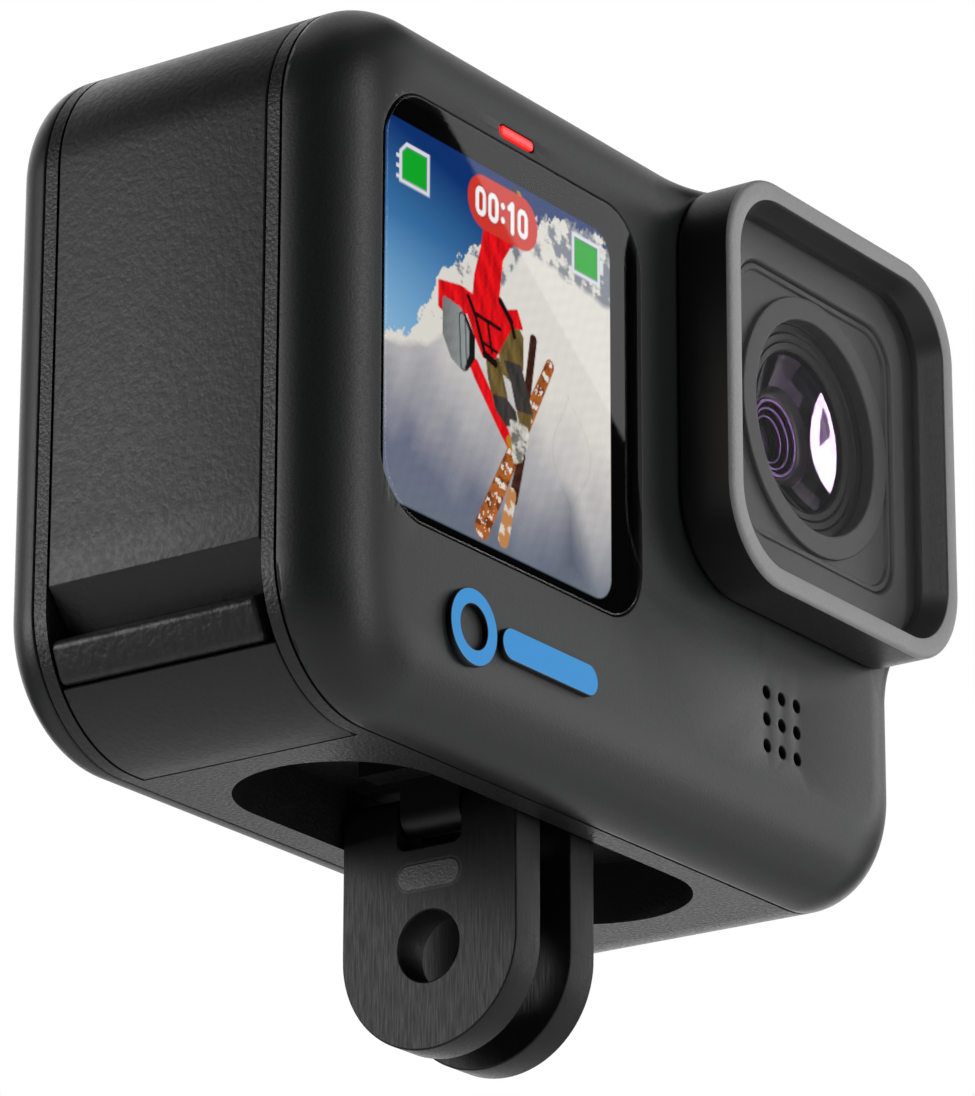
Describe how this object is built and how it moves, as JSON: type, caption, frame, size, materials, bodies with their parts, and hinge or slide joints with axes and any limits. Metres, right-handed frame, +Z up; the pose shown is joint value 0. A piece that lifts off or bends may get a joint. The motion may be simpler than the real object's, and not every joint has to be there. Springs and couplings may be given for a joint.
{
  "type": "action camera",
  "caption": "Small boxy action camera with a square lens cover, front and rear screens, a side battery door and folding mounting fingers.",
  "frame": {"origin": "middle of the bore through the two deployed mounting fingers", "axes": "+X along the bore, to the right seen from the front; -Y out of the front face; +Z up, from the bore to the body"},
  "size_m": [0.0722, 0.0336, 0.0669],
  "materials": {
    "shell_plastic": "soft-touch painted polycarbonate, matt",
    "frame_plastic": "moulded plastic with a fine leather-like texture",
    "door_plastic": "moulded plastic with a fine leather-like texture",
    "window_glass": "black-backed polished glass",
    "display_panel": "display panel",
    "sheet_steel": "stamped sheet",
    "red_light": "translucent red plastic",
    "black_mesh": "etched black mesh",
    "blue_badge": "satin blue plastic",
    "bare_aluminium": "bare sheet",
    "circuit_board": "solder mask",
    "pin_steel": "ground bar",
    "black_anodised": "black anodised, matt",
    "lens_glass": "coated optical glass",
    "black_plastic": "black moulded plastic",
    "sensor_chip": "glossy chip",
    "cover_plastic": "satin painted frame",
    "cover_glass": "clear cover glass",
    "seal_rubber": "matt rubber",
    "battery_wrap": "wrapped metal cell",
    "tab_film": "plastic film",
    "contact_brass": "plated contacts",
    "card_plastic": "moulded card",
    "button_plastic": "satin plastic",
    "finger_alloy": "dark coated alloy, fine vertical brushing",
    "magnet": "coated magnet, grained"
  },
  "bodies": {
    "camera_body": {"front_shell": "shell_plastic", "mid_frame": "frame_plastic", "rear_shell": "shell_plastic", "front_window_glass": "window_glass", "front_display_panel": "display_panel", "front_display_bracket": "sheet_steel", "status_light_guide": "red_light", "front_mic_mesh": "black_mesh", "front_microphone": "sheet_steel", "front_badge": "blue_badge", "rear_touch_glass": "window_glass", "rear_display_panel": "display_panel", "heat_spreader": "bare_aluminium", "main_board": "circuit_board", "processor_shield": "sheet_steel", "board_screws": "pin_steel", "lens_barrel": "black_anodised", "front_element": "lens_glass", "second_element": "lens_glass", "rear_element": "lens_glass", "element_retainer": "black_anodised", "sensor_holder": "black_plastic", "image_sensor": "sensor_chip", "sensor_board": "circuit_board", "cover_seal": "seal_rubber", "door_hinge_pin": "pin_steel", "battery": "battery_wrap", "battery_pull_tab": "tab_film", "battery_bay": "black_plastic", "battery_contacts": "contact_brass", "memory_card": "card_plastic", "card_socket": "sheet_steel", "usb_c_port": "sheet_steel", "shutter_switch": "sheet_steel", "shutter_bracket": "sheet_steel", "mode_switch": "sheet_steel", "mode_bracket": "sheet_steel", "finger_hinge_block": "black_plastic", "finger_hinge_pins": "pin_steel", "recess_magnets": "magnet", "speaker": "black_plastic", "speaker_mesh": "black_mesh"},
    "lens_cover": {"cover_frame": "cover_plastic", "cover_glass": "cover_glass", "cover_bezel": "black_plastic"},
    "battery_door": {"battery_door": "door_plastic", "door_seal": "seal_rubber", "latch_pin": "pin_steel", "latch_spring": "sheet_steel"},
    "door_latch": {"door_latch": "door_plastic"},
    "shutter_button": {"shutter_button": "button_plastic", "shutter_ring": "red_light"},
    "mode_button": {"mode_button": "button_plastic"},
    "left_finger": {"left_finger": "finger_alloy", "left_finger_magnet": "magnet"},
    "right_finger": {"right_finger": "finger_alloy", "right_finger_magnet": "magnet"}
  },
  "joints": [
    {"name": "lens_cover_twist", "type": "hinge", "parent": "camera_body", "child": "lens_cover", "pos_m": [0.0195, -0.0151, 0.04195], "axis": [0, -1, 0], "range_deg": [0, 90]},
    {"name": "battery_door_swing", "type": "hinge", "parent": "camera_body", "child": "battery_door", "pos_m": [-0.0264, 0.00032, 0.0578], "axis": [0, 1, 0], "range_deg": [0, 95]},
    {"name": "door_latch_tip", "type": "hinge", "parent": "battery_door", "child": "door_latch", "pos_m": [-0.03382, 0.00032, 0.01392], "axis": [0, -1, 0], "range_deg": [0, 20], "stiffness_Nm_per_rad": 0.05},
    {"name": "shutter_press", "type": "slide", "parent": "camera_body", "child": "shutter_button", "axis": [0, 0, -1], "range_m": [0, 0.0005], "stiffness_N_per_m": 3000},
    {"name": "mode_press", "type": "slide", "parent": "camera_body", "child": "mode_button", "axis": [-1, 0, 0], "range_m": [0, 0.0004], "stiffness_N_per_m": 3000},
    {"name": "left_finger_fold", "type": "hinge", "parent": "camera_body", "child": "left_finger", "pos_m": [-0.0033, 0, 0.00985], "axis": [0, 1, 0], "range_deg": [0, 90]},
    {"name": "right_finger_fold", "type": "hinge", "parent": "camera_body", "child": "right_finger", "pos_m": [0.0033, 0, 0.00985], "axis": [0, -1, 0], "range_deg": [0, 90]}
  ]
}
